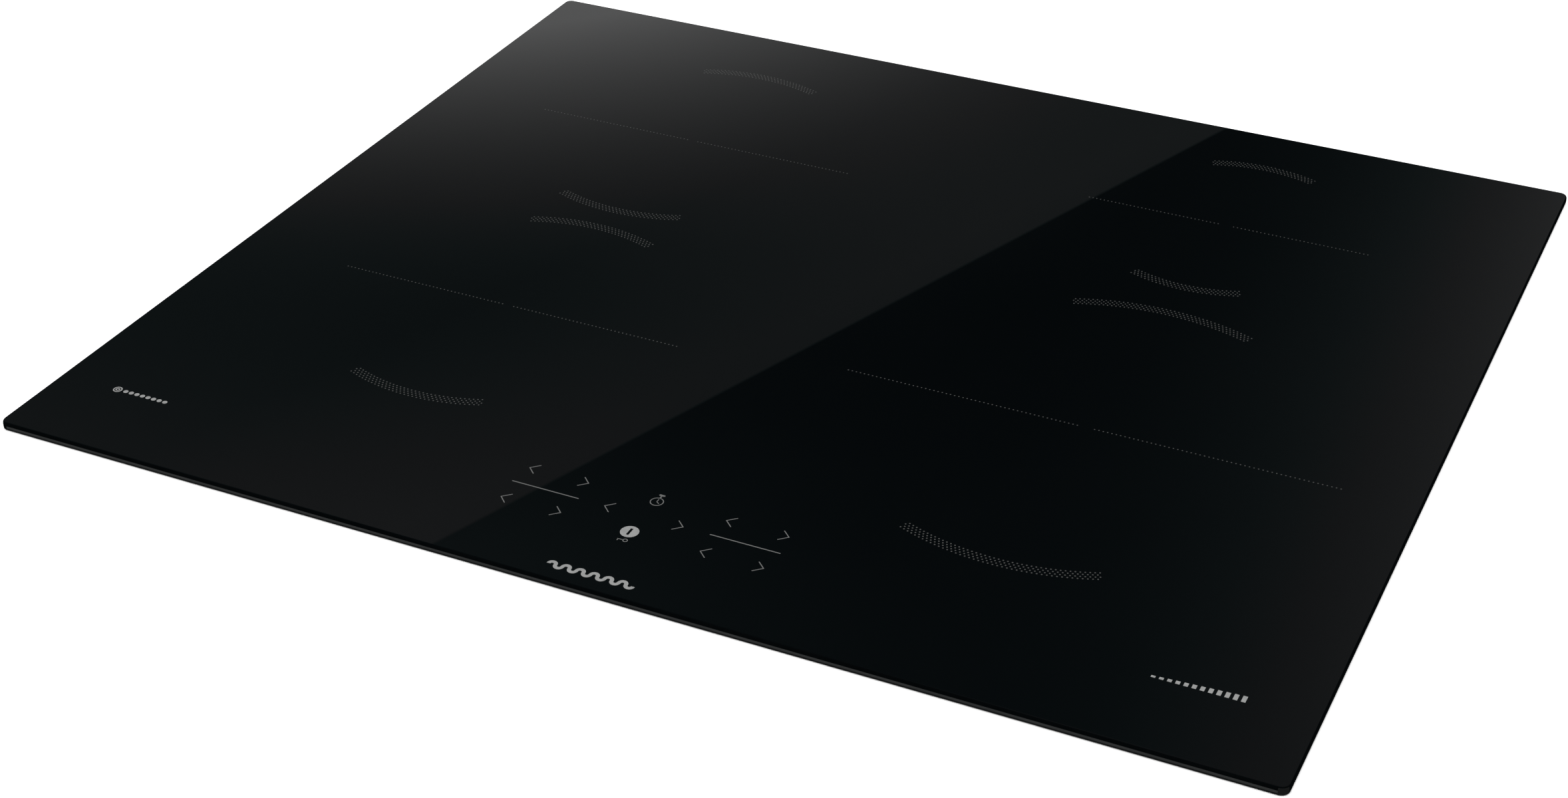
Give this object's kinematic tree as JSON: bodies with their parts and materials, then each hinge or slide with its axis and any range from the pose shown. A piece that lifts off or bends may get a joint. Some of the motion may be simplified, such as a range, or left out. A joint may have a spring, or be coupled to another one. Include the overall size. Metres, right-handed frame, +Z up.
{
  "type": "electric induction cooktop",
  "caption": "Built-in electric induction cooktop: black glass-ceramic plate with printed zones over a flat steel housing, with touch control, coils, fans and a rear supply terminal.",
  "frame": {"origin": "centre of the housing's underside, below the middle of the glass plate", "axes": "+X to the right and +Y to the back as the user sees it from the front, +Z up"},
  "size_m": [0.595, 0.52, 0.054],
  "materials": {
    "black_glass": "polished opaque black glass-ceramic",
    "print": "light grey fired enamel print",
    "foam_seal": "closed-cell foam",
    "aluminium": "mill finish",
    "silicone": "matt cured sealant",
    "galvanised_steel": "zinc-coated sheet, faint spangle",
    "spring_steel": "bright spring steel",
    "zinc_screw": "zinc-plated",
    "black_plastic": "fine-grained moulded plastic",
    "grey_plastic": "moulded plastic",
    "white_plastic": "moulded plastic",
    "circuit_board": "solder-masked glass-epoxy board",
    "component_black": "moulded epoxy",
    "capacitor_film": "moulded box film capacitor",
    "choke": "enamelled copper on an iron powder core",
    "brass": "machined",
    "copper_litz": "enamelled copper litz",
    "ferrite": "sintered, ground",
    "mica": "pressed mica sheet",
    "sensor_silicone": "silicone rubber",
    "lead_sleeve": "braided sleeve",
    "display": "dark red lens",
    "ribbon": "flat ribbon cable"
  },
  "bodies": {
    "housing": {"glass_plate": "black_glass", "glass_print": "print", "edge_seal": "foam_seal", "glass_rails": "aluminium", "silicone_beads": "silicone", "bottom_tray": "galvanised_steel", "tray_screws": "zinc_screw", "board_tray_left": "black_plastic", "board_tray_right": "black_plastic", "power_board_left": "circuit_board", "power_board_right": "circuit_board", "heat_sink_left": "aluminium", "heat_sink_right": "aluminium", "power_transistors": "component_black", "power_capacitors": "capacitor_film", "power_chokes": "choke", "coil_terminals": "brass", "filter_board": "circuit_board", "filter_parts": "capacitor_film", "fan_housing_left": "black_plastic", "fan_housing_right": "black_plastic", "terminal_box": "black_plastic", "terminal_block": "white_plastic", "terminal_screws": "zinc_screw", "terminal_links": "brass", "cover_pin": "zinc_screw", "cable_gland": "black_plastic", "touch_frame": "black_plastic", "touch_board": "circuit_board", "touch_springs": "brass", "led_displays": "display", "touch_ribbon": "ribbon", "carrier_springs_left": "spring_steel", "carrier_springs_right": "spring_steel", "coil_leads_left": "lead_sleeve", "coil_leads_right": "lead_sleeve", "clip_brackets": "galvanised_steel"},
    "fan_rotor_left": {"fan_rotor_left": "grey_plastic"},
    "fan_rotor_right": {"fan_rotor_right": "grey_plastic"},
    "terminal_cover": {"terminal_cover": "black_plastic"},
    "coil_carrier_left": {"coil_carrier_left": "aluminium", "coil_former_rear_left": "grey_plastic", "coil_former_front_left": "grey_plastic", "winding_rear_left": "copper_litz", "winding_front_left": "copper_litz", "ferrites_left": "ferrite", "mica_left": "mica", "sensors_left": "sensor_silicone"},
    "coil_carrier_right": {"coil_carrier_right": "aluminium", "coil_former_rear_right": "grey_plastic", "coil_former_front_right": "grey_plastic", "winding_rear_right": "copper_litz", "winding_front_right": "copper_litz", "ferrites_right": "ferrite", "mica_right": "mica", "sensors_right": "sensor_silicone"},
    "clip_front_left": {"clip_front_left": "spring_steel"},
    "clip_front_right": {"clip_front_right": "spring_steel"},
    "clip_rear_left": {"clip_rear_left": "spring_steel"},
    "clip_rear_right": {"clip_rear_right": "spring_steel"}
  },
  "joints": [
    {"name": "fan_left_spin", "type": "hinge", "parent": "housing", "child": "fan_rotor_left", "pos_m": [-0.092, 0.186, 0.012], "axis": [0, 0, 1], "continuous": true},
    {"name": "fan_right_spin", "type": "hinge", "parent": "housing", "child": "fan_rotor_right", "pos_m": [0.092, 0.186, 0.012], "axis": [0, 0, 1], "continuous": true},
    {"name": "terminal_cover_hinge", "type": "hinge", "parent": "housing", "child": "terminal_cover", "pos_m": [-0.224, 0.2448, 0.0044], "axis": [-1, 0, 0], "range_deg": [0, 90]},
    {"name": "coil_carrier_left_float", "type": "slide", "parent": "housing", "child": "coil_carrier_left", "axis": [0, 0, 1], "range_m": [-0.003, 0], "stiffness_N_per_m": 6000, "springref_m": 0.01, "deforming": ["carrier_springs_left", "coil_leads_left"]},
    {"name": "coil_carrier_right_float", "type": "slide", "parent": "housing", "child": "coil_carrier_right", "axis": [0, 0, 1], "range_m": [-0.003, 0], "stiffness_N_per_m": 6000, "springref_m": 0.01, "deforming": ["carrier_springs_right", "coil_leads_right"]},
    {"name": "clip_front_left_flex", "type": "hinge", "parent": "housing", "child": "clip_front_left", "pos_m": [-0.2786, -0.12, 0.012], "axis": [0, -1, 0], "range_deg": [-7, 0], "stiffness_Nm_per_rad": 3, "springref_deg": 2.86},
    {"name": "clip_rear_left_flex", "type": "hinge", "parent": "housing", "child": "clip_rear_left", "pos_m": [-0.2786, 0.12, 0.012], "axis": [0, -1, 0], "range_deg": [-7, 0], "stiffness_Nm_per_rad": 3, "springref_deg": 2.86},
    {"name": "clip_front_right_flex", "type": "hinge", "parent": "housing", "child": "clip_front_right", "pos_m": [0.2786, -0.12, 0.012], "axis": [0, 1, 0], "range_deg": [-7, 0], "stiffness_Nm_per_rad": 3, "springref_deg": 2.86},
    {"name": "clip_rear_right_flex", "type": "hinge", "parent": "housing", "child": "clip_rear_right", "pos_m": [0.2786, 0.12, 0.012], "axis": [0, 1, 0], "range_deg": [-7, 0], "stiffness_Nm_per_rad": 3, "springref_deg": 2.86}
  ]
}
